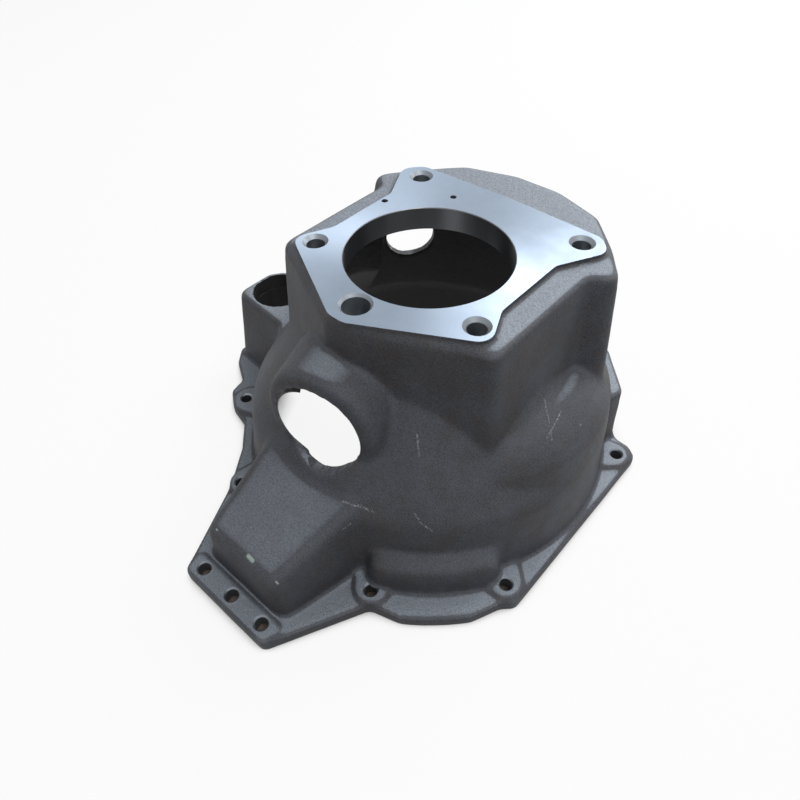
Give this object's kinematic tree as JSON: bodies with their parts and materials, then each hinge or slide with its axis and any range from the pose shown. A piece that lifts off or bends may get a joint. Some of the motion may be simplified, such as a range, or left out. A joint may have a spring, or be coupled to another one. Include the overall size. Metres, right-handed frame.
{
  "type": "bellhousing",
  "caption": "Cast bell-shaped housing that joins an engine to a gearbox, with a machined gearbox face, a fork opening, a starter pocket and an eared flange.",
  "frame": {"origin": "crankshaft axis at the engine face", "axes": "+Z from the engine face to the gearbox face, +Y up in the vehicle, away from the sump pad, +X to the side away from the starter pocket"},
  "size_m": [0.3465, 0.3755, 0.18],
  "materials": {
    "cast_aluminium": "dark sand-cast aluminium, machined bright on the gearbox face"
  },
  "bodies": {
    "root": {"bellhousing": "cast_aluminium"}
  },
  "joints": []
}
